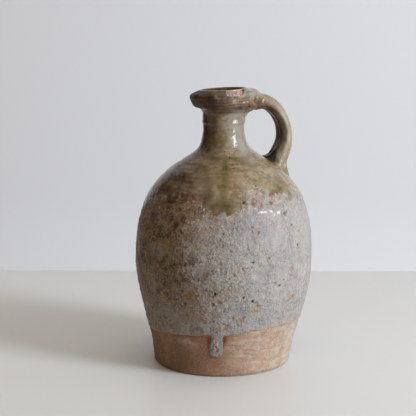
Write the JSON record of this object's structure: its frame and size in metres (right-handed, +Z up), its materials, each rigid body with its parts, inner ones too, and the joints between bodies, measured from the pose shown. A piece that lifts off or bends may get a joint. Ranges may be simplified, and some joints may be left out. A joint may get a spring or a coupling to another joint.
{
  "type": "stoneware jug",
  "caption": "Wheel-thrown stoneware jug for carrying and pouring water: flat-based ovoid body, narrow neck, flared collar, strap handle from collar to shoulder, ash glaze above a bare foot.",
  "frame": {"origin": "centre of the flat resting face under the base, on the axis of the pot", "axes": "+Z up along the axis of the pot, +X towards the strap handle, +Y the rest of a right-handed frame"},
  "size_m": [0.1616, 0.1617, 0.25],
  "materials": {
    "bare_clay": "unglazed, rough, sandy",
    "matte_glaze": "matte grey, gritty, pitted",
    "ash_glaze": "glossy olive ash glaze with darker runs"
  },
  "bodies": {
    "root": {"base_disc": "bare_clay", "body_wall": "bare_clay", "neck": "bare_clay", "rim_collar": "bare_clay", "strap_handle": "ash_glaze", "upper_handle_lute": "ash_glaze", "lower_handle_lute": "ash_glaze", "lower_glaze_coat": "matte_glaze", "upper_glaze_coat": "ash_glaze"}
  },
  "joints": []
}
